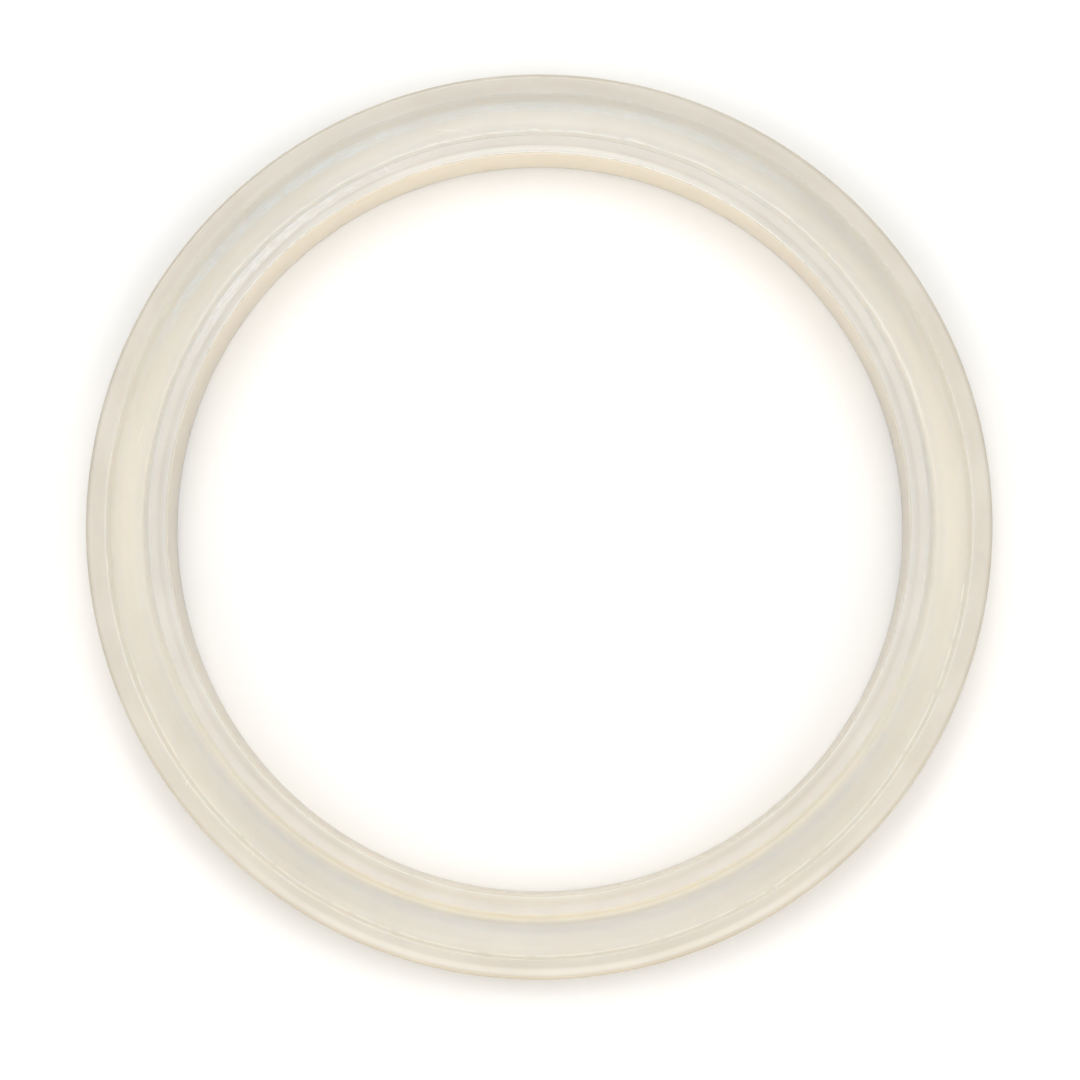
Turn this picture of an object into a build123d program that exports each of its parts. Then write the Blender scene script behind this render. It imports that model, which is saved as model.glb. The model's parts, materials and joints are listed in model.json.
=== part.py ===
from build123d import *
from math import radians, tan
import os

# Moulded silicone seal ring, one piece: a U-shaped channel opens upwards between two lips,
# a tall one round the bore and a lower one at the rim
# Origin at the centre of the flat underside, with +Z along the bore axis, out of the channel

# Plan sizes at the tops of the lips, in millimetres, from the rim inwards
outer_diameter = 66.0
outer_lip_width = 1.45
channel_width = 3.35
inner_lip_width = 1.4

# Heights above the underside, where the lips meet the channel
channel_floor_height = 2.0
outer_lip_height = 4.9
inner_lip_height = 6.9

# Each lip is level beside the channel, and slopes up to a crest on its far side
outer_crest_width = 1.05
outer_crest_rise = 0.1
inner_crest_width = 0.75
inner_crest_rise = 0.4

# The channel narrows downwards, its walls drafted for the mould, and is rounded at the floor
outer_wall_draft = 1.0
inner_wall_draft = 12.0
outer_floor_radius = 0.8
inner_floor_radius = 0.95

# Bevels at the rim, at the bore's crest and round the underside
rim_bevel = 0.35
crest_bevel = 0.1
base_bevel = 0.2

# Places in the section that follow from the sizes
rim_radius = outer_diameter / 2
outer_edge_radius = rim_radius - outer_lip_width
inner_edge_radius = outer_edge_radius - channel_width
bore_radius = inner_edge_radius - inner_lip_width

# Where the drafted walls would meet the channel's floor, if it weren't rounded
outer_wall_height = outer_lip_height - channel_floor_height
inner_wall_height = inner_lip_height - channel_floor_height
outer_foot_radius = outer_edge_radius - outer_wall_height * tan(radians(outer_wall_draft))
inner_foot_radius = inner_edge_radius + inner_wall_height * tan(radians(inner_wall_draft))

with BuildPart() as seal_ring:
    with BuildSketch(Plane.XZ) as section:
        with BuildLine():
            # Channel, from the top of its outer wall down, across and up its inner wall
            channel = FilletPolyline(
                (outer_edge_radius, outer_lip_height),
                (outer_foot_radius, channel_floor_height),
                (inner_foot_radius, channel_floor_height),
                (inner_edge_radius, inner_lip_height),
                radius=(outer_floor_radius, inner_floor_radius),
            )

            # Inner lip, bore, underside, rim and outer lip
            Polyline(
                channel @ 1,
                (bore_radius + inner_crest_width, inner_lip_height),
                (bore_radius, inner_lip_height + inner_crest_rise),
                (bore_radius, 0),
                (rim_radius, 0),
                (rim_radius, outer_lip_height + outer_crest_rise),
                (rim_radius - outer_crest_width, outer_lip_height),
                channel @ 0,
            )
        make_face()

        # Bevels on the four outermost corners
        bore_corners = section.vertices().group_by(Axis.X)[0].sort_by(Axis.Y)
        rim_corners = section.vertices().group_by(Axis.X)[-1].sort_by(Axis.Y)
        chamfer([bore_corners[0], rim_corners[0]], base_bevel)
        chamfer(section.vertices().group_by(Axis.X)[0].sort_by(Axis.Y)[-1], crest_bevel)
        chamfer(section.vertices().group_by(Axis.X)[-1].sort_by(Axis.Y)[-1], rim_bevel)

    revolve(axis=Axis.Z)

seal_ring.part.label = "seal_ring"

os.makedirs("parts", exist_ok=True)
export_step(seal_ring.part, "parts/seal_ring.step")
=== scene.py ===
import json
from math import ceil, cos, pi, radians, sin, tan

import bmesh
import bpy
from mathutils import Matrix, Vector


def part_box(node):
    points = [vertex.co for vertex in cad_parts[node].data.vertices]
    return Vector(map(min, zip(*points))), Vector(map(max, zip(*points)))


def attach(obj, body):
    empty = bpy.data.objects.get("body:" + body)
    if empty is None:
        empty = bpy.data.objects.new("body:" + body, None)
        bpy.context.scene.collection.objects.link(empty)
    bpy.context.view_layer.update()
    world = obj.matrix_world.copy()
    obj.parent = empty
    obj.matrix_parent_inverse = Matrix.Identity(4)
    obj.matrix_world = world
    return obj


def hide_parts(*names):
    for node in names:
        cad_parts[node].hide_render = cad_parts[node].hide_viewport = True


bl_info = {
    "name": "Moulded silicone seal ring",
    "version": (1, 0, 0),
    "blender": (4, 5, 0),
    "location": "3D View > Sidebar > Seal Ring",
    "description": "Makes a moulded silicone seal ring with a channel in its face, and its studio",
    "category": "Add Mesh",
}

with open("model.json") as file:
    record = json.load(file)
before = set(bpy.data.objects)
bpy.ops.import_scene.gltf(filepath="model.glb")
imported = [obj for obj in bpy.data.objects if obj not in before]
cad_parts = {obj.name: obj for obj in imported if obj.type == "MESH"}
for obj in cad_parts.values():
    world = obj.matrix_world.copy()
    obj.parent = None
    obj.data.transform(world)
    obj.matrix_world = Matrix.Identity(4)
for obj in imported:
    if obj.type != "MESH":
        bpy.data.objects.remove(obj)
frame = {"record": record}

MM = 0.001
NODE = "seal_ring"

# The floor lies a hair below the ring, so that light can pass between them
FLOOR_GAP = 0.03 * MM
FLOOR_ROUGHNESS = 0.9
FLOOR_SPECULAR = 0.1

# The camera's sensor, in millimetres, and the nearest distance that it sees
SENSOR_WIDTH = 36
NEAREST_SEEN = 0.01

# How silicone bends light, how much of its colour comes from below the skin, and how far red,
# green and blue spread there, as shares of the depth
SILICONE_IOR = 1.41
BELOW_SKIN = 0.6
SPREAD = (1.0, 0.85, 0.7)

# Length of the strip that the ring unrolls to at a radius of 30 millimetres
UNROLLED_LENGTH = 2 * pi * 30

# Noises stretched along the ring: scale round the ring, scale across it, and detail
STRETCHED_NOISES = {
    "clouds": (6.0, 0.4, 3.0),
    "wander": (10.5, 0.0, 4.0),
    "breaks": (27.0, 0.0, 3.0),
    "strokes": (36.0, 8.0, 4.0),
}

# Clouds in the milk: noise where they start and where they are full, their strength, and how
# much they change the roughness
CLOUD_START = 0.35
CLOUD_FULL = 0.75
CLOUD_STRENGTH = 0.10
CLOUD_ROUGHNESS = 0.25

# Soft ends of the marks: the share of its half width where a line or scratch is full, the noise
# over which a line or stroke fades in, and the width in millimetres over which a band does
LINE_CORE = 0.25
SCRATCH_CORE = 0.3
LINE_FADE = 0.18
STROKE_FADE = 0.12
BAND_FADE = 0.15

# Strength of a band of painted sheen between its strokes
BETWEEN_STROKES = 0.3

# Dark specks: scale of the cells that hold them, distances from a cell's middle where a speck
# ends and where it is full, the share of cells without one, and the specks' strength
SPECK_SCALE = 260.0
SPECK_END = 0.028
SPECK_FULL = 0.018
CELLS_WITHOUT = 0.93
SPECK_STRENGTH = 0.55

# Grain of the skin
GRAIN_SCALE = 2600.0
GRAIN_DETAIL = 1.0

# Points of the turned mesh that lie closer than this are one
MERGE_DISTANCE = 0.001 * MM

# A Mix node's sockets for colours, which share their names with those for numbers
MIX_FIRST = 6
MIX_SECOND = 7
MIX_RESULT = 2

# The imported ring's own box and mounts give the sizes that have to agree with it
RING_LOW, RING_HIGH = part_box(NODE)
MOUNTS = {mount["name"]: mount for mount in frame["record"]["mounts"]}
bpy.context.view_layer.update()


class RingSizes(bpy.types.PropertyGroup):
    """Sizes of the ring's section, from the rim inwards and from the underside up"""

    outer_diameter: bpy.props.FloatProperty(
        name="Outside diameter",
        description="Diameter over the rim",
        default=2 * RING_HIGH.x,
        unit="LENGTH",
    )
    bore_diameter: bpy.props.FloatProperty(
        name="Bore diameter",
        description="Diameter of the open middle",
        default=2 * MOUNTS["bore"]["dims"]["r_mm"] * MM,
        unit="LENGTH",
    )
    inner_lip_width: bpy.props.FloatProperty(
        name="Inner lip width",
        description="Width of the tall lip between the bore and the channel, at its top",
        default=1.4 * MM,
        unit="LENGTH",
    )
    channel_width: bpy.props.FloatProperty(
        name="Channel width",
        description="Width of the channel between the tops of the lips",
        default=3.35 * MM,
        unit="LENGTH",
    )
    inner_lip_height: bpy.props.FloatProperty(
        name="Inner lip height",
        description="Height of the inner lip beside the channel",
        default=MOUNTS["inner_lip"]["pos_m"][2],
        unit="LENGTH",
    )
    outer_lip_height: bpy.props.FloatProperty(
        name="Outer lip height",
        description="Height of the outer lip beside the channel",
        default=MOUNTS["outer_lip"]["pos_m"][2],
        unit="LENGTH",
    )
    floor_height: bpy.props.FloatProperty(
        name="Channel floor height",
        description="Height of the channel's floor",
        default=MOUNTS["channel_floor"]["pos_m"][2],
        unit="LENGTH",
    )
    inner_crest_width: bpy.props.FloatProperty(
        name="Inner crest width",
        description="Width of the slope that rises to the crest beside the bore",
        default=0.75 * MM,
        unit="LENGTH",
    )
    inner_crest_rise: bpy.props.FloatProperty(
        name="Inner crest rise",
        description="Height of the crest beside the bore over the rest of the inner lip",
        default=0.4 * MM,
        unit="LENGTH",
    )
    outer_crest_width: bpy.props.FloatProperty(
        name="Outer crest width",
        description="Width of the slope that rises to the rim",
        default=1.05 * MM,
        unit="LENGTH",
    )
    outer_crest_rise: bpy.props.FloatProperty(
        name="Outer crest rise",
        description="Height of the rim over the rest of the outer lip",
        default=0.1 * MM,
        unit="LENGTH",
    )
    inner_wall_draft: bpy.props.FloatProperty(
        name="Inner wall draft",
        description="Lean of the channel's inner wall",
        default=radians(12),
        subtype="ANGLE",
    )
    outer_wall_draft: bpy.props.FloatProperty(
        name="Outer wall draft",
        description="Lean of the channel's outer wall",
        default=radians(1),
        subtype="ANGLE",
    )
    inner_floor_round: bpy.props.FloatProperty(
        name="Inner floor rounding",
        description="Radius between the channel's floor and its inner wall",
        default=0.95 * MM,
        unit="LENGTH",
    )
    outer_floor_round: bpy.props.FloatProperty(
        name="Outer floor rounding",
        description="Radius between the channel's floor and its outer wall",
        default=0.8 * MM,
        unit="LENGTH",
    )
    rim_round: bpy.props.FloatProperty(
        name="Rim rounding",
        description="Width of the rounding along the rim",
        default=0.35 * MM,
        unit="LENGTH",
    )
    base_round: bpy.props.FloatProperty(
        name="Underside rounding",
        description="Width of the roundings round the underside",
        default=0.2 * MM,
        unit="LENGTH",
    )
    crest_round: bpy.props.FloatProperty(
        name="Crest rounding",
        description="Width of the rounding along the crest beside the bore",
        default=0.1 * MM,
        unit="LENGTH",
    )
    edge_round: bpy.props.FloatProperty(
        name="Edge rounding",
        description="Width of the roundings along the channel's two edges",
        default=0.05 * MM,
        unit="LENGTH",
    )
    longest_edge: bpy.props.FloatProperty(
        name="Longest edge",
        description="Longest edge that the section keeps undivided",
        default=0.4 * MM,
        unit="LENGTH",
    )
    quarter_steps: bpy.props.IntProperty(
        name="Steps in a quarter",
        description="Number of sections in a quarter turn",
        default=120,
    )


class SiliconeFinish(bpy.types.PropertyGroup):
    """Colours, depth and gloss of the milky silicone; its colours also hold painted light, shade, highlights
    and sheen
    """

    bore_colour: bpy.props.FloatVectorProperty(
        name="Bore colour",
        description="Colour of the bore's wall, which is seen through the whole lip",
        default=(0.725, 0.665, 0.57),
        subtype="COLOR",
    )
    crest_colour: bpy.props.FloatVectorProperty(
        name="Crest colour",
        description="Colour of the slope and crest beside the bore",
        default=(0.67, 0.65, 0.605),
        subtype="COLOR",
    )
    inner_lip_colour: bpy.props.FloatVectorProperty(
        name="Inner lip colour",
        description="Colour of the level top of the tall lip",
        default=(0.63, 0.6, 0.555),
        subtype="COLOR",
    )
    # Painted light: the channel's inner wall is set nearly white, as if the silicone glowed there
    wall_colour: bpy.props.FloatVectorProperty(
        name="Wall colour",
        description="Colour of the channel's inner wall",
        default=(0.99, 0.95, 0.87),
        subtype="COLOR",
    )
    # Painted light: the channel's rounded feet and outer wall are lighter where the walls would shade them
    fillet_colour: bpy.props.FloatVectorProperty(
        name="Fillet colour",
        description="Colour of the channel's rounded feet and its outer wall",
        default=(0.8, 0.775, 0.73),
        subtype="COLOR",
    )
    # Painted light: the channel's floor is set lighter than the lips, as if the pale ground lit it from below
    # and the lips cast no shade on it
    channel_colour: bpy.props.FloatVectorProperty(
        name="Channel colour",
        description="Colour of the thin channel floor, which the pale ground lights from below",
        default=(0.755, 0.72, 0.645),
        subtype="COLOR",
    )
    outer_lip_colour: bpy.props.FloatVectorProperty(
        name="Outer lip colour",
        description="Colour of the thick lip at the rim",
        default=(0.575, 0.545, 0.49),
        subtype="COLOR",
    )
    # Also painted shade on the edge between the bore and the crest, which would otherwise catch light
    rim_colour: bpy.props.FloatVectorProperty(
        name="Rim colour",
        description="Colour of the rim's wall, and of the edge between the bore and the crest",
        default=(0.54, 0.495, 0.42),
        subtype="COLOR",
    )
    # The pale lines and soft bands are painted highlights and painted light; the scratches and clouds are the
    # silicone's own
    pale_colour: bpy.props.FloatVectorProperty(
        name="Pale mark colour",
        description="Colour of the pale lines, soft bands, scratches and clouds",
        default=(1.0, 0.99, 0.95),
        subtype="COLOR",
    )
    # Painted sheen: a cool reflection laid into the colour in scratchy bands
    sheen_colour: bpy.props.FloatVectorProperty(
        name="Sheen colour",
        description="Colour of the bands that the mould's worn polish leaves cool and scratchy",
        default=(0.88, 0.93, 0.95),
        subtype="COLOR",
    )
    # The creases and soft shade are painted shade; the specks are the silicone's own
    dark_colour: bpy.props.FloatVectorProperty(
        name="Dark mark colour",
        description="Colour of the dark specks and creases, and of the soft shade",
        default=(0.12, 0.09, 0.06),
        subtype="COLOR",
    )
    depth: bpy.props.FloatProperty(
        name="Depth",
        description="How far light spreads below the skin",
        default=3.0 * MM,
        unit="LENGTH",
    )
    gloss_roughness: bpy.props.FloatProperty(
        name="Roughness",
        description="Roughness of the satin skin",
        default=0.40,
        subtype="FACTOR",
    )
    grain_height: bpy.props.FloatProperty(
        name="Grain height",
        description="Height of the skin's fine grain",
        default=0.006 * MM,
        unit="LENGTH",
    )


class StudioSizes(bpy.types.PropertyGroup):
    """Floor, lamps and camera"""

    floor_colour: bpy.props.FloatVectorProperty(
        name="Floor colour",
        description="Colour of the plain floor",
        default=(0.97, 0.97, 0.97),
        subtype="COLOR",
    )
    lamp_distance: bpy.props.FloatProperty(
        name="Lamp distance",
        description="Distance of each lamp from the ring",
        default=0.6,
        unit="LENGTH",
    )
    lamp_size: bpy.props.FloatProperty(
        name="Lamp size",
        description="Diameter of each round lamp",
        default=0.4,
        unit="LENGTH",
    )
    lamp_power: bpy.props.FloatProperty(
        name="Lamp power",
        description="Power of a lamp of full strength, in watts",
        default=4.0,
    )
    world_strength: bpy.props.FloatProperty(
        name="Room light",
        description="Strength of the even light from the pale room",
        default=0.03,
    )
    backdrop_strength: bpy.props.FloatProperty(
        name="Backdrop",
        description="Brightness of the pale room as the camera sees it past the floor",
        default=1.0,
    )
    floor_reach: bpy.props.FloatProperty(
        name="Floor reach",
        description="Distance from the ring's middle to the floor's edges",
        default=0.32,
        unit="LENGTH",
    )
    camera_place: bpy.props.FloatVectorProperty(
        name="Camera place",
        description="Where the lens stands above the ring",
        default=(4.6 * MM, -16.2 * MM, 290.0 * MM),
        subtype="TRANSLATION",
        unit="LENGTH",
    )
    camera_target: bpy.props.FloatVectorProperty(
        name="Camera target",
        description="Point on the floor that the middle of the picture shows",
        default=(0.04 * MM, -0.89 * MM, 0),
        subtype="TRANSLATION",
        unit="LENGTH",
    )
    camera_lens: bpy.props.FloatProperty(
        name="Camera lens",
        description="Focal length in millimetres on a 36 millimetre sensor",
        default=130.9,
    )


def split_long_edges(section, longest):
    """Divides each edge of the section that is longer than the longest edge allowed."""
    for edge in section.edges[:]:
        pieces = ceil(edge.calc_length() / longest)
        if pieces > 1:
            bmesh.ops.subdivide_edges(section, edges=[edge], cuts=pieces - 1)


def round_corner(section, corner, width, segments):
    """Rounds one corner of the section, a width along each of its edges."""
    bmesh.ops.bevel(
        section,
        geom=[corner],
        offset=width,
        offset_type="OFFSET",
        segments=segments,
        profile=0.5,
        affect="VERTICES",
        material=-1,
    )


def draw_section(sizes):
    """Draws the section as a closed line: bore, inner lip, channel, outer lip, rim and underside."""
    bore = sizes.bore_diameter / 2
    rim = sizes.outer_diameter / 2
    inner_edge = bore + sizes.inner_lip_width
    outer_edge = inner_edge + sizes.channel_width
    floor = sizes.floor_height
    inner_foot = inner_edge + (sizes.inner_lip_height - floor) * tan(sizes.inner_wall_draft)
    outer_foot = outer_edge - (sizes.outer_lip_height - floor) * tan(sizes.outer_wall_draft)
    inner_fillet = sizes.inner_floor_round * tan(pi / 4 - sizes.inner_wall_draft / 2)
    outer_fillet = sizes.outer_floor_round * tan(pi / 4 - sizes.outer_wall_draft / 2)
    inner_crest = sizes.inner_lip_height + sizes.inner_crest_rise
    outer_crest = sizes.outer_lip_height + sizes.outer_crest_rise

    # Radius and height of each corner, then the width of its rounding and the segments in it
    corners = (
        (bore, 0, sizes.base_round, 4),
        (bore, inner_crest, sizes.crest_round, 4),
        (bore + sizes.inner_crest_width, sizes.inner_lip_height, sizes.crest_round, 3),
        (inner_edge, sizes.inner_lip_height, sizes.edge_round, 3),
        (inner_foot, floor, inner_fillet, 14),
        (outer_foot, floor, outer_fillet, 14),
        (outer_edge, sizes.outer_lip_height, sizes.edge_round, 3),
        (rim - sizes.outer_crest_width, sizes.outer_lip_height, sizes.crest_round, 2),
        (rim, outer_crest, sizes.rim_round, 6),
        (rim, 0, sizes.base_round, 4),
    )
    section = bmesh.new()
    places = [section.verts.new((radius, 0, height)) for radius, height, width, segments in corners]
    for start, end in zip(places, places[1:] + places[:1]):
        section.edges.new((start, end))
    for place, (radius, height, width, segments) in zip(places, corners):
        round_corner(section, place, width, segments)
    split_long_edges(section, sizes.longest_edge)
    return section


def turn_section(section, quarter_steps):
    """Turns the section through a quarter of the ring, and mirrors that twice to close it."""
    bmesh.ops.spin(
        section,
        geom=section.verts[:] + section.edges[:],
        cent=(0, 0, 0),
        axis=(0, 0, 1),
        angle=pi / 2,
        steps=quarter_steps,
    )
    for axis in ("X", "Y"):
        geometry = section.verts[:] + section.edges[:] + section.faces[:]
        bmesh.ops.mirror(section, geom=geometry, axis=axis, merge_dist=MERGE_DISTANCE)
    bmesh.ops.recalc_face_normals(section, faces=section.faces[:])
    return section


def add_piece(name, shape, material):
    """Turns a finished bmesh into a smooth object with its place in its mesh."""
    data = bpy.data.meshes.new(name)
    shape.to_mesh(data)
    shape.free()
    data.materials.append(material)
    data.polygons.foreach_set("use_smooth", [True] * len(data.polygons))
    piece = bpy.data.objects.new(name, data)
    bpy.context.scene.collection.objects.link(piece)
    return piece


def feed_inputs(tree, node, values):
    """Gives each named or numbered input of a node a value or a link."""
    for name, value in values.items():
        if isinstance(value, bpy.types.NodeSocket):
            tree.links.new(value, node.inputs[name])
        else:
            node.inputs[name].default_value = value


def add_node(tree, kind, values, **settings):
    """Adds a node with its settings and its inputs."""
    node = tree.nodes.new(kind)
    for name, setting in settings.items():
        setattr(node, name, setting)
    feed_inputs(tree, node, values)
    return node


def maths(tree, operation, *values):
    """One step of arithmetic between values or sockets."""
    return add_node(tree, "ShaderNodeMath", dict(enumerate(values)), operation=operation).outputs[0]


def fade(tree, value, start, end):
    """Rises smoothly from 0 to 1 as the value goes from start to end."""
    limits = {"Value": value, "From Min": start, "From Max": end}
    return add_node(tree, "ShaderNodeMapRange", limits, interpolation_type="SMOOTHSTEP").outputs["Result"]


def blend(tree, amount, body, colour):
    """Mixes a plain colour into the body's colour by an amount."""
    values = {"Factor": amount, MIX_FIRST: body, MIX_SECOND: (*colour, 1)}
    return add_node(tree, "ShaderNodeMix", values, data_type="RGBA").outputs[MIX_RESULT]


def noise(tree, vector, scale, detail):
    """Smooth noise between 0 and 1 at a place."""
    values = {"Vector": vector, "Scale": scale, "Detail": detail}
    return add_node(tree, "ShaderNodeTexNoise", values).outputs[0]


def new_group(name, inputs, outputs):
    """Starts a node group of plain numbers and vectors, and gives its tree and its two ends."""
    tree = bpy.data.node_groups.new(name, "ShaderNodeTree")
    for label, kind in inputs:
        tree.interface.new_socket(label, in_out="INPUT", socket_type=kind)
    for label, kind in outputs:
        tree.interface.new_socket(label, in_out="OUTPUT", socket_type=kind)
    return tree, tree.nodes.new("NodeGroupInput"), tree.nodes.new("NodeGroupOutput")


def use_group(tree, group, values):
    """Puts a node group in a tree with its own values."""
    node = tree.nodes.new("ShaderNodeGroup")
    node.node_tree = group
    feed_inputs(tree, node, values)
    return node


def ramp(tree, value, stops):
    """Colours, or greys that stand for numbers, spread along a value from 0 to 1."""
    node = add_node(tree, "ShaderNodeValToRGB", {0: value})
    elements = node.color_ramp.elements
    while len(elements) < len(stops):
        elements.new(0.5)
    for element, (place, colour) in zip(elements, stops):
        element.position = place
        element.color = (*colour, 1)
    return node.outputs[0]


def make_ring_place_group():
    """Radius in millimetres, turn from 0 to 1, and vectors that run along the ring."""
    number, vector = "NodeSocketFloat", "NodeSocketVector"
    outputs = (("Radius", number), ("Turn", number), ("Round", vector), ("Unrolled", vector))
    tree, start, end = new_group("place_on_ring", (), outputs)
    coordinates = tree.nodes.new("ShaderNodeTexCoord")
    parts = add_node(tree, "ShaderNodeSeparateXYZ", {0: coordinates.outputs["Object"]}).outputs
    squares = maths(tree, "MULTIPLY_ADD", parts[0], parts[0], maths(tree, "MULTIPLY", parts[1], parts[1]))
    radius = maths(tree, "SQRT", squares)
    radius_mm = maths(tree, "DIVIDE", radius, MM)
    half_turn = maths(tree, "DIVIDE", maths(tree, "ARCTAN2", parts[1], parts[0]), 2 * pi)
    turn = maths(tree, "FRACT", half_turn)
    across = maths(tree, "ADD", radius_mm, maths(tree, "DIVIDE", parts[2], MM))
    cosine = maths(tree, "DIVIDE", parts[0], radius)
    sine = maths(tree, "DIVIDE", parts[1], radius)
    round_ring = add_node(tree, "ShaderNodeCombineXYZ", {0: cosine, 1: sine, 2: across}).outputs[0]
    along = maths(tree, "MULTIPLY", turn, UNROLLED_LENGTH)
    unrolled = add_node(tree, "ShaderNodeCombineXYZ", {0: along, 1: radius_mm}).outputs[0]
    for name, socket in zip((name for name, kind in outputs), (radius_mm, turn, round_ring, unrolled)):
        tree.links.new(socket, end.inputs[name])
    return tree


def make_broken_line_group():
    """A thin line round the ring, which wavers in radius and breaks up along its length."""
    names = ("Radius", "Wander", "Breaks", "Line Radius", "Width", "Waver", "Gaps", "Strength")
    inputs = tuple((name, "NodeSocketFloat") for name in names)
    tree, start, end = new_group("broken_line", inputs, (("Mask", "NodeSocketFloat"),))
    given = start.outputs
    wander = maths(tree, "SUBTRACT", given["Wander"], 0.5)
    middle = maths(tree, "MULTIPLY_ADD", wander, given["Waver"], given["Line Radius"])
    away = maths(tree, "ABSOLUTE", maths(tree, "SUBTRACT", given["Radius"], middle))
    line = fade(tree, away, given["Width"], maths(tree, "MULTIPLY", given["Width"], LINE_CORE))
    unbroken = fade(tree, given["Breaks"], given["Gaps"], maths(tree, "ADD", given["Gaps"], LINE_FADE))
    mask = maths(tree, "MULTIPLY", maths(tree, "MULTIPLY", line, unbroken), given["Strength"])
    tree.links.new(mask, end.inputs["Mask"])
    return tree


def make_painted_sheen_group():
    """Painted sheen: fine short strokes of a cool reflection along the ring inside a band."""
    names = ("Radius", "Strokes", "Inner", "Outer", "Gaps", "Strength")
    inputs = tuple((name, "NodeSocketFloat") for name in names)
    tree, start, end = new_group("painted_sheen_band", inputs, (("Mask", "NodeSocketFloat"),))
    given = start.outputs
    radius, inner, outer, gaps = (given[name] for name in ("Radius", "Inner", "Outer", "Gaps"))
    strokes = fade(tree, given["Strokes"], gaps, maths(tree, "ADD", gaps, STROKE_FADE))
    strokes = maths(tree, "MULTIPLY_ADD", strokes, 1 - BETWEEN_STROKES, BETWEEN_STROKES)
    past_inner = fade(tree, radius, inner, maths(tree, "ADD", inner, BAND_FADE))
    before_outer = fade(tree, radius, outer, maths(tree, "SUBTRACT", outer, BAND_FADE))
    band = maths(tree, "MULTIPLY", past_inner, before_outer)
    mask = maths(tree, "MULTIPLY", maths(tree, "MULTIPLY", band, strokes), given["Strength"])
    tree.links.new(mask, end.inputs["Mask"])
    return tree


def vector_maths(tree, operation, first, second):
    """One step of arithmetic between vectors, with a vector or a number for its result."""
    node = add_node(tree, "ShaderNodeVectorMath", {0: first, 1: second}, operation=operation)
    return node.outputs["Value" if operation in ("DOT_PRODUCT", "DISTANCE") else "Vector"]


def make_scratch_group():
    """A straight scratch between two places on the ring, given as on a strip unrolled from it."""
    vector, number = "NodeSocketVector", "NodeSocketFloat"
    places = tuple((name, vector) for name in ("Unrolled", "Start", "Run"))
    numbers = tuple((name, number) for name in ("Width", "Strength"))
    tree, start, end = new_group("scratch", places + numbers, (("Mask", number),))
    given = start.outputs
    run, width = given["Run"], given["Width"]
    offset = vector_maths(tree, "SUBTRACT", given["Unrolled"], given["Start"])
    along = vector_maths(tree, "DOT_PRODUCT", offset, run)
    share = maths(tree, "DIVIDE", along, vector_maths(tree, "DOT_PRODUCT", run, run))
    share = maths(tree, "MINIMUM", maths(tree, "MAXIMUM", share, 0.0), 1.0)
    nearest = add_node(tree, "ShaderNodeVectorMath", {0: run, "Scale": share}, operation="SCALE").outputs[0]
    away = vector_maths(tree, "DISTANCE", offset, nearest)
    line = fade(tree, away, width, maths(tree, "MULTIPLY", width, SCRATCH_CORE))
    tree.links.new(maths(tree, "MULTIPLY", line, given["Strength"]), end.inputs["Mask"])
    return tree


def stretched_noise(tree, round_ring, along, across, detail):
    """Noise stretched along the ring, from a scale round it and one across it."""
    return noise(tree, vector_maths(tree, "MULTIPLY", round_ring, (along, along, across)), 1.0, detail)


# Colours across the section, partly the silicone's thickness and partly painted light: lighter on the
# channel's floor, walls and feet where the lips would shade them, darker on the thick lips, and painted shade
# on the edge between the bore and the crest. Radius in millimetres, and the finish that it has there
SECTION_COLOURS = (
    (26.80, "bore_colour"),
    (26.82, "bore_colour"),
    (26.84, "rim_colour"),
    (26.90, "rim_colour"),
    (26.95, "crest_colour"),
    (27.60, "inner_lip_colour"),
    (28.17, "inner_lip_colour"),
    (28.25, "wall_colour"),
    (28.70, "wall_colour"),
    (29.45, "fillet_colour"),
    (30.10, "channel_colour"),
    (30.70, "channel_colour"),
    (31.15, "fillet_colour"),
    (31.56, "fillet_colour"),
    (31.59, "outer_lip_colour"),
    (32.60, "outer_lip_colour"),
    (32.85, "rim_colour"),
    (33.00, "rim_colour"),
)

# Painted highlights as pale glint lines, and soft bands of painted light: radius, half width, waver and gaps,
# then angles with the strength
PALE_LINES = (
    # Painted highlight: glint along the foot of the channel's inner wall
    (29.20, 0.110, 0.85, 0.30,
     ((10, 0), (20, 0.6), (60, 0.8), (72, 1), (116, 1), (128, 0.5), (158, 0.4), (170, 0))),
    (29.30, 0.120, 0.80, 0.40,
     ((62, 0), (76, 0.4), (114, 0.4), (124, 0))),

    # Light on the slope beside the bore, and on the outer lip
    (27.24, 0.300, 0.03, 0.05,
     ((50, 0), (75, 0.3), (108, 0.3), (135, 0))),
    (32.42, 0.330, 0.05, 0.05,
     ((222, 0), (245, 0.2), (300, 0.2), (322, 0))),

    # Painted highlights: glints along the foot and edge of the channel's outer wall
    (31.40, 0.085, 0.16, 0.34,
     ((192, 0), (202, 0.6), (295, 0.5), (305, 0.7), (346, 0.7), (356, 0))),
    (31.61, 0.030, 0.10, 0.34,
     ((190, 0), (198, 0.3), (246, 0.3), (254, 0), (310, 0), (316, 0.3), (344, 0.3), (350, 0))),

    # Painted highlights: glints along the crest beside the bore, and along the rim
    (26.93, 0.035, 0.06, 0.30,
     ((38, 0), (48, 0.9), (148, 0.8), (158, 0), (203, 0), (210, 0.5), (250, 0.5), (258, 0),
      (300, 0), (308, 0.5), (334, 0.5), (342, 0))),
    (32.72, 0.030, 0.05, 0.30,
     ((70, 0), (80, 0.35), (146, 0.35), (156, 0))),
)

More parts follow.
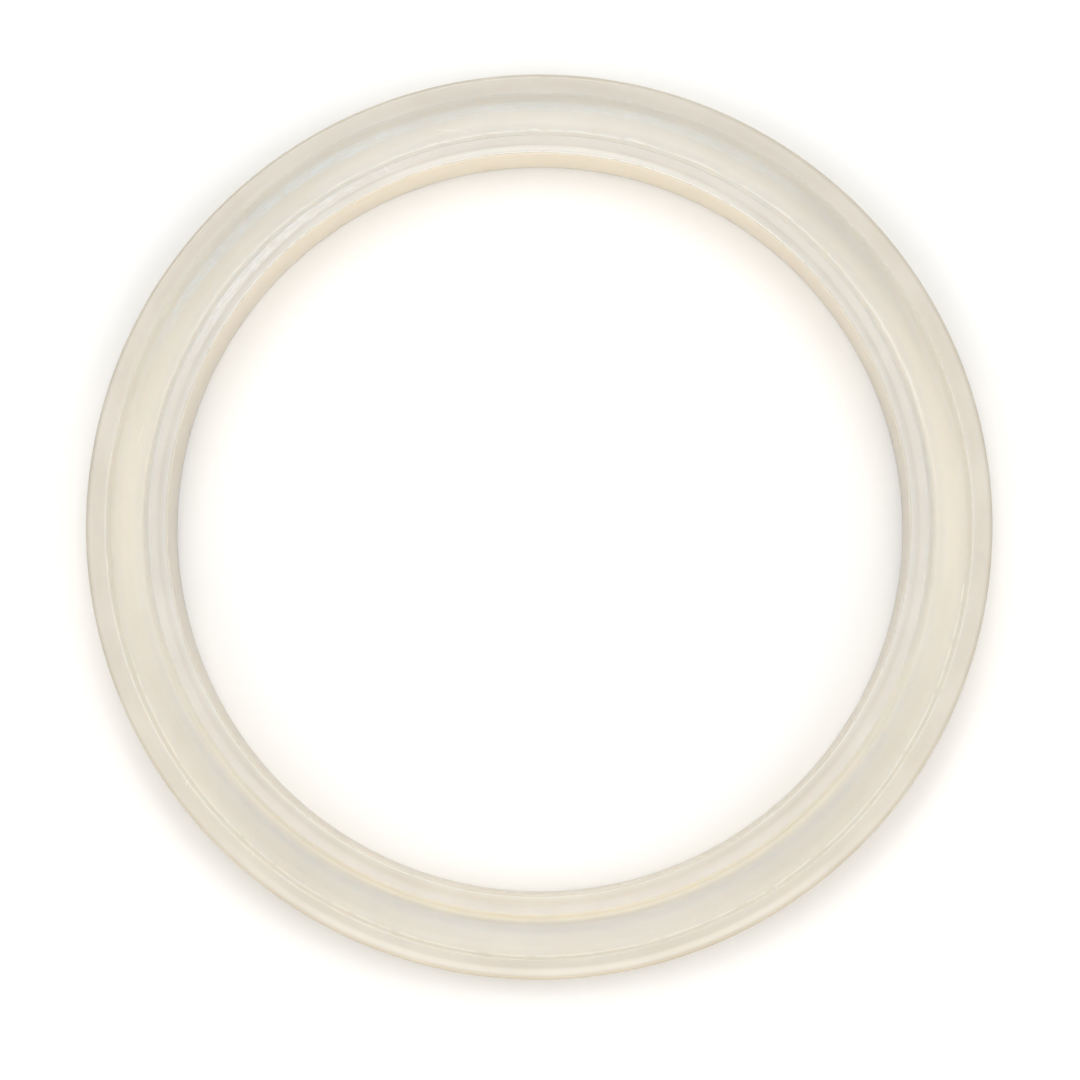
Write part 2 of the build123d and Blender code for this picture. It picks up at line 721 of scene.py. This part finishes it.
# Painted shade as dark lines and soft dark bands, in the same order
DARK_LINES = (
    # Painted shade: dark lines along the channel's two edges
    (28.22, 0.035, 0.03, 0.22,
     ((50, 0), (62, 0.4), (136, 0.4), (146, 0))),
    (31.59, 0.035, 0.05, 0.26,
     ((15, 0), (30, 0.25), (160, 0.25), (175, 0))),

    # Shade on the channel's inner wall, on the slope beside the bore, and along the rim
    (28.40, 0.330, 0.05, 0.05,
     ((200, 0), (228, 0.19), (312, 0.19), (338, 0))),
    (27.20, 0.360, 0.03, 0.05,
     ((200, 0), (230, 0.10), (312, 0.10), (338, 0))),
    (32.94, 0.080, 0.04, 0.12,
     ((225, 0), (242, 0.16), (296, 0.16), (312, 0))),
)

# Bands of painted sheen, a cool scratchy reflection: inner and outer radius, gaps, then angles with the
# strength there
SHEEN_BANDS = (
    (30.70, 31.45, 0.47, ((45, 0), (62, 0.30), (105, 0.35), (120, 0.60), (146, 0.60), (158, 0))),
    (27.45, 28.25, 0.46, ((104, 0), (122, 0.30), (146, 0.30), (158, 0))),
)

# Scratches: angle and radius where each starts and ends, half width, strength
SCRATCHES = (
    ((113.0, 27.75), (113.4, 28.20), 0.020, 0.8),
    ((100.0, 29.60), (104.6, 30.35), 0.025, 0.6),
    ((165.6, 30.10), (168.6, 30.22), 0.030, 0.5),
    ((216.0, 31.50), (216.6, 31.85), 0.020, 0.6),
    ((229.0, 31.52), (229.4, 31.80), 0.020, 0.5),
    ((349.8, 31.36), (352.2, 31.40), 0.035, 0.9),
)


def strength_round_ring(tree, turn, stops):
    """A strength that goes from stop to stop round the ring, each stop an angle in degrees."""
    greys = tuple((angle / 360, (strength,) * 3) for angle, strength in stops)
    return ramp(tree, turn, greys)


def paint_lines(tree, lines, shared, turn, group):
    """Mask of all the lines in a table, the strongest where they meet."""
    mask = 0.0
    for line_radius, width, waver, gaps, stops in lines:
        strength = strength_round_ring(tree, turn, stops)
        own = {"Line Radius": line_radius, "Width": width, "Waver": waver, "Gaps": gaps, "Strength": strength}
        mask = maths(tree, "MAXIMUM", mask, use_group(tree, group, shared | own).outputs["Mask"])
    return mask


def paint_bands(tree, shared, turn):
    """Mask of the bands of painted sheen."""
    mask = 0.0
    group = make_painted_sheen_group()
    for inner, outer, gaps, stops in SHEEN_BANDS:
        strength = strength_round_ring(tree, turn, stops)
        own = {"Inner": inner, "Outer": outer, "Gaps": gaps, "Strength": strength}
        mask = maths(tree, "MAXIMUM", mask, use_group(tree, group, shared | own).outputs["Mask"])
    return mask


def paint_scratches(tree, mask, unrolled):
    """Adds the scratches to a mask."""
    group = make_scratch_group()
    for (start_angle, start_radius), (end_angle, end_radius), width, strength in SCRATCHES:
        start = Vector((start_angle / 360 * UNROLLED_LENGTH, start_radius, 0))
        run = Vector((end_angle / 360 * UNROLLED_LENGTH, end_radius, 0)) - start
        own = {"Unrolled": unrolled, "Start": start, "Run": run, "Width": width, "Strength": strength}
        mask = maths(tree, "MAXIMUM", mask, use_group(tree, group, own).outputs["Mask"])
    return mask


def paint_specks(tree, coordinates):
    """Mask of the few dark specks."""
    cells = add_node(tree, "ShaderNodeTexVoronoi", {"Vector": coordinates, "Scale": SPECK_SCALE}).outputs
    pick = add_node(tree, "ShaderNodeSeparateColor", {0: cells["Color"]}).outputs[0]
    speck = fade(tree, cells["Distance"], SPECK_END, SPECK_FULL)
    chosen = maths(tree, "MULTIPLY", speck, maths(tree, "GREATER_THAN", pick, CELLS_WITHOUT))
    return maths(tree, "MULTIPLY", chosen, SPECK_STRENGTH)


def make_silicone(finish):
    """Milky silicone: lighter in the channel and darker in the thick lips, partly for its thickness and
    partly as painted light, with painted highlights, sheen and shade, and a few scratches and specks.
    """
    material = bpy.data.materials.new("milky_silicone")
    material.use_nodes = True
    tree = material.node_tree
    sizes = bpy.context.scene.ring_sizes
    bore = sizes.bore_diameter / 2 / MM
    rim = sizes.outer_diameter / 2 / MM
    place = use_group(tree, make_ring_place_group(), {}).outputs
    radius, turn = place["Radius"], place["Turn"]
    coordinates = tree.nodes.new("ShaderNodeTexCoord").outputs["Object"]
    noises = {}
    for name, scales in STRETCHED_NOISES.items():
        noises[name] = stretched_noise(tree, place["Round"], *scales)

    # Lightness across the section: partly the silicone's thickness, partly painted light in the channel and
    # on its walls and feet
    limits = {"Value": radius, "From Min": bore, "From Max": rim}
    across = add_node(tree, "ShaderNodeMapRange", limits).outputs["Result"]
    stops = []
    for where, name in SECTION_COLOURS:
        stops.append(((where - bore) / (rim - bore), getattr(finish, name)))
    body = ramp(tree, across, stops)

    # Soft clouds in the milk
    clouds = fade(tree, noises["clouds"], CLOUD_START, CLOUD_FULL)
    body = blend(tree, maths(tree, "MULTIPLY", clouds, CLOUD_STRENGTH), body, finish.pale_colour)

    # Painted highlights, painted sheen and painted shade, with the scratches, then a few dark specks
    shared = {"Radius": radius, "Wander": noises["wander"], "Breaks": noises["breaks"]}
    line_group = make_broken_line_group()
    pale = paint_lines(tree, PALE_LINES, shared, turn, line_group)
    dark = paint_lines(tree, DARK_LINES, shared, turn, line_group)
    sheen = paint_bands(tree, {"Radius": radius, "Strokes": noises["strokes"]}, turn)
    body = blend(tree, sheen, body, finish.sheen_colour)
    body = blend(tree, paint_scratches(tree, pale, place["Unrolled"]), body, finish.pale_colour)
    body = blend(tree, dark, body, finish.dark_colour)
    body = blend(tree, paint_specks(tree, coordinates), body, finish.dark_colour)

    # Fine grain in the skin
    grain = noise(tree, coordinates, GRAIN_SCALE, GRAIN_DETAIL)
    heights = {"Height": grain, "Distance": finish.grain_height, "Strength": 1.0}
    bump = add_node(tree, "ShaderNodeBump", heights)
    unevenness = maths(tree, "SUBTRACT", noises["clouds"], 0.5)
    roughness = maths(tree, "MULTIPLY_ADD", unevenness, CLOUD_ROUGHNESS, finish.gloss_roughness)

    shader = tree.nodes["Principled BSDF"]
    tree.links.new(body, shader.inputs["Base Color"])
    tree.links.new(roughness, shader.inputs["Roughness"])
    tree.links.new(bump.outputs[0], shader.inputs["Normal"])
    shader.inputs["IOR"].default_value = SILICONE_IOR
    shader.inputs["Subsurface Weight"].default_value = BELOW_SKIN
    shader.inputs["Subsurface Radius"].default_value = SPREAD
    shader.inputs["Subsurface Scale"].default_value = finish.depth
    return material


class MouldRing(bpy.types.Operator):
    """Moulds the seal ring and puts it in the place of the plain one"""

    bl_idname = "seal_ring.mould_ring"
    bl_label = "Mould the ring"

    def execute(self, context):
        scene = context.scene
        sizes = scene.ring_sizes
        silicone = make_silicone(scene.silicone_finish)
        shape = turn_section(draw_section(sizes), sizes.quarter_steps)
        ring = add_piece("moulded_ring", shape, silicone)
        even_shading = ring.modifiers.new("even_shading", "WEIGHTED_NORMAL")
        even_shading.mode = "FACE_AREA"
        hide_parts(NODE)
        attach(ring, "root")
        return {"FINISHED"}


# Lamps: azimuth, 0 being the picture's right and 90 its top, elevation, then strength in red,
# green and blue
LAMPS = (
    ("right", 0, 55, (0.24, 0.25, 0.265)),
    ("left", 180, 55, (0.22, 0.23, 0.245)),
    ("top", 90, 70, (0.375, 0.36, 0.335)),
    ("slanting_top", 90, 35, (0.16, 0.155, 0.135)),
    ("bottom", 270, 68, (0.175, 0.18, 0.195)),
    ("low_bottom", 270, 20, (0.42, 0.36, 0.245)),
)


def add_lamp(name, azimuth, elevation, colour, studio):
    """Adds a round soft lamp that faces the ring."""
    strength = max(colour)
    data = bpy.data.lights.new(name, "AREA")
    data.shape = "DISK"
    data.size = studio.lamp_size
    data.energy = studio.lamp_power * strength
    data.color = [part / strength for part in colour]
    lamp = bpy.data.objects.new(name, data)
    direction = Vector((cos(azimuth) * cos(elevation), sin(azimuth) * cos(elevation), sin(elevation)))
    lamp.location = direction * studio.lamp_distance
    lamp.rotation_mode = "QUATERNION"
    lamp.rotation_quaternion = (-direction).to_track_quat("-Z", "Y")
    bpy.context.scene.collection.objects.link(lamp)


def make_floor_material(colour):
    """Matt pale floor."""
    material = bpy.data.materials.new("pale_floor")
    material.use_nodes = True
    shader = material.node_tree.nodes["Principled BSDF"]
    shader.inputs["Base Color"].default_value = (*colour, 1)
    shader.inputs["Roughness"].default_value = FLOOR_ROUGHNESS
    shader.inputs["Specular IOR Level"].default_value = FLOOR_SPECULAR
    return material


def make_room(studio):
    """Even light from a pale room, which the camera itself sees as a bright backdrop."""
    world = bpy.data.worlds.new("room")
    world.use_nodes = True
    tree = world.node_tree
    seen = tree.nodes.new("ShaderNodeLightPath").outputs["Is Camera Ray"]
    extra = studio.backdrop_strength - studio.world_strength
    strength = maths(tree, "MULTIPLY_ADD", seen, extra, studio.world_strength)
    background = tree.nodes["Background"]
    background.inputs["Color"].default_value = (1, 1, 1, 1)
    tree.links.new(strength, background.inputs["Strength"])
    return world


def add_camera(studio):
    """Adds the camera and turns it to its target, with the picture's top towards +Y."""
    data = bpy.data.cameras.new("camera")
    data.sensor_width = SENSOR_WIDTH
    data.lens = studio.camera_lens
    data.clip_start = NEAREST_SEEN
    camera = bpy.data.objects.new("camera", data)
    bpy.context.scene.collection.objects.link(camera)
    place = Vector(studio.camera_place)
    back = (place - Vector(studio.camera_target)).normalized()
    side = Vector((0, 1, 0)).cross(back).normalized()
    turn = Matrix((side, back.cross(side), back)).transposed()
    camera.matrix_world = Matrix.Translation(place) @ turn.to_4x4()
    return camera


class SetStage(bpy.types.Operator):
    """Lays the floor, hangs the lamps and sets the camera"""

    bl_idname = "seal_ring.set_stage"
    bl_label = "Set the stage"

    def execute(self, context):
        scene = context.scene
        studio = scene.studio_sizes

        floor_mesh = bmesh.new()
        bmesh.ops.create_grid(floor_mesh, x_segments=1, y_segments=1, size=studio.floor_reach)
        bmesh.ops.translate(floor_mesh, verts=floor_mesh.verts[:], vec=(0, 0, RING_LOW.z - FLOOR_GAP))
        floor = add_piece("floor", floor_mesh, make_floor_material(studio.floor_colour))

        scene.world = make_room(studio)
        for name, azimuth, elevation, colour in LAMPS:
            add_lamp(name, radians(azimuth), radians(elevation), colour, studio)

        scene.camera = add_camera(studio)
        scene.view_settings.view_transform = "Standard"
        return {"FINISHED"}


class SealRingPanel(bpy.types.Panel):
    """Lists the ring's sizes, its finish and its studio"""

    bl_idname = "VIEW3D_PT_seal_ring"
    bl_label = "Seal ring"
    bl_space_type = "VIEW_3D"
    bl_region_type = "UI"
    bl_category = "Seal Ring"

    def draw(self, context):
        for group in PROPERTY_GROUPS:
            values = getattr(context.scene, group)
            column = self.layout.column(align=True)
            for name in values.__annotations__:
                column.prop(values, name)
        self.layout.operator(MouldRing.bl_idname)
        self.layout.operator(SetStage.bl_idname)


PROPERTY_GROUPS = {
    "ring_sizes": RingSizes,
    "silicone_finish": SiliconeFinish,
    "studio_sizes": StudioSizes,
}
CLASSES = (RingSizes, SiliconeFinish, StudioSizes, MouldRing, SetStage, SealRingPanel)


def register():
    for kind in CLASSES:
        bpy.utils.register_class(kind)
    for name, kind in PROPERTY_GROUPS.items():
        setattr(bpy.types.Scene, name, bpy.props.PointerProperty(type=kind))


def unregister():
    for name in PROPERTY_GROUPS:
        delattr(bpy.types.Scene, name)
    for kind in reversed(CLASSES):
        bpy.utils.unregister_class(kind)


def main():
    register()
    bpy.ops.seal_ring.mould_ring()
    bpy.ops.seal_ring.set_stage()


if __name__ == "__main__":
    main()
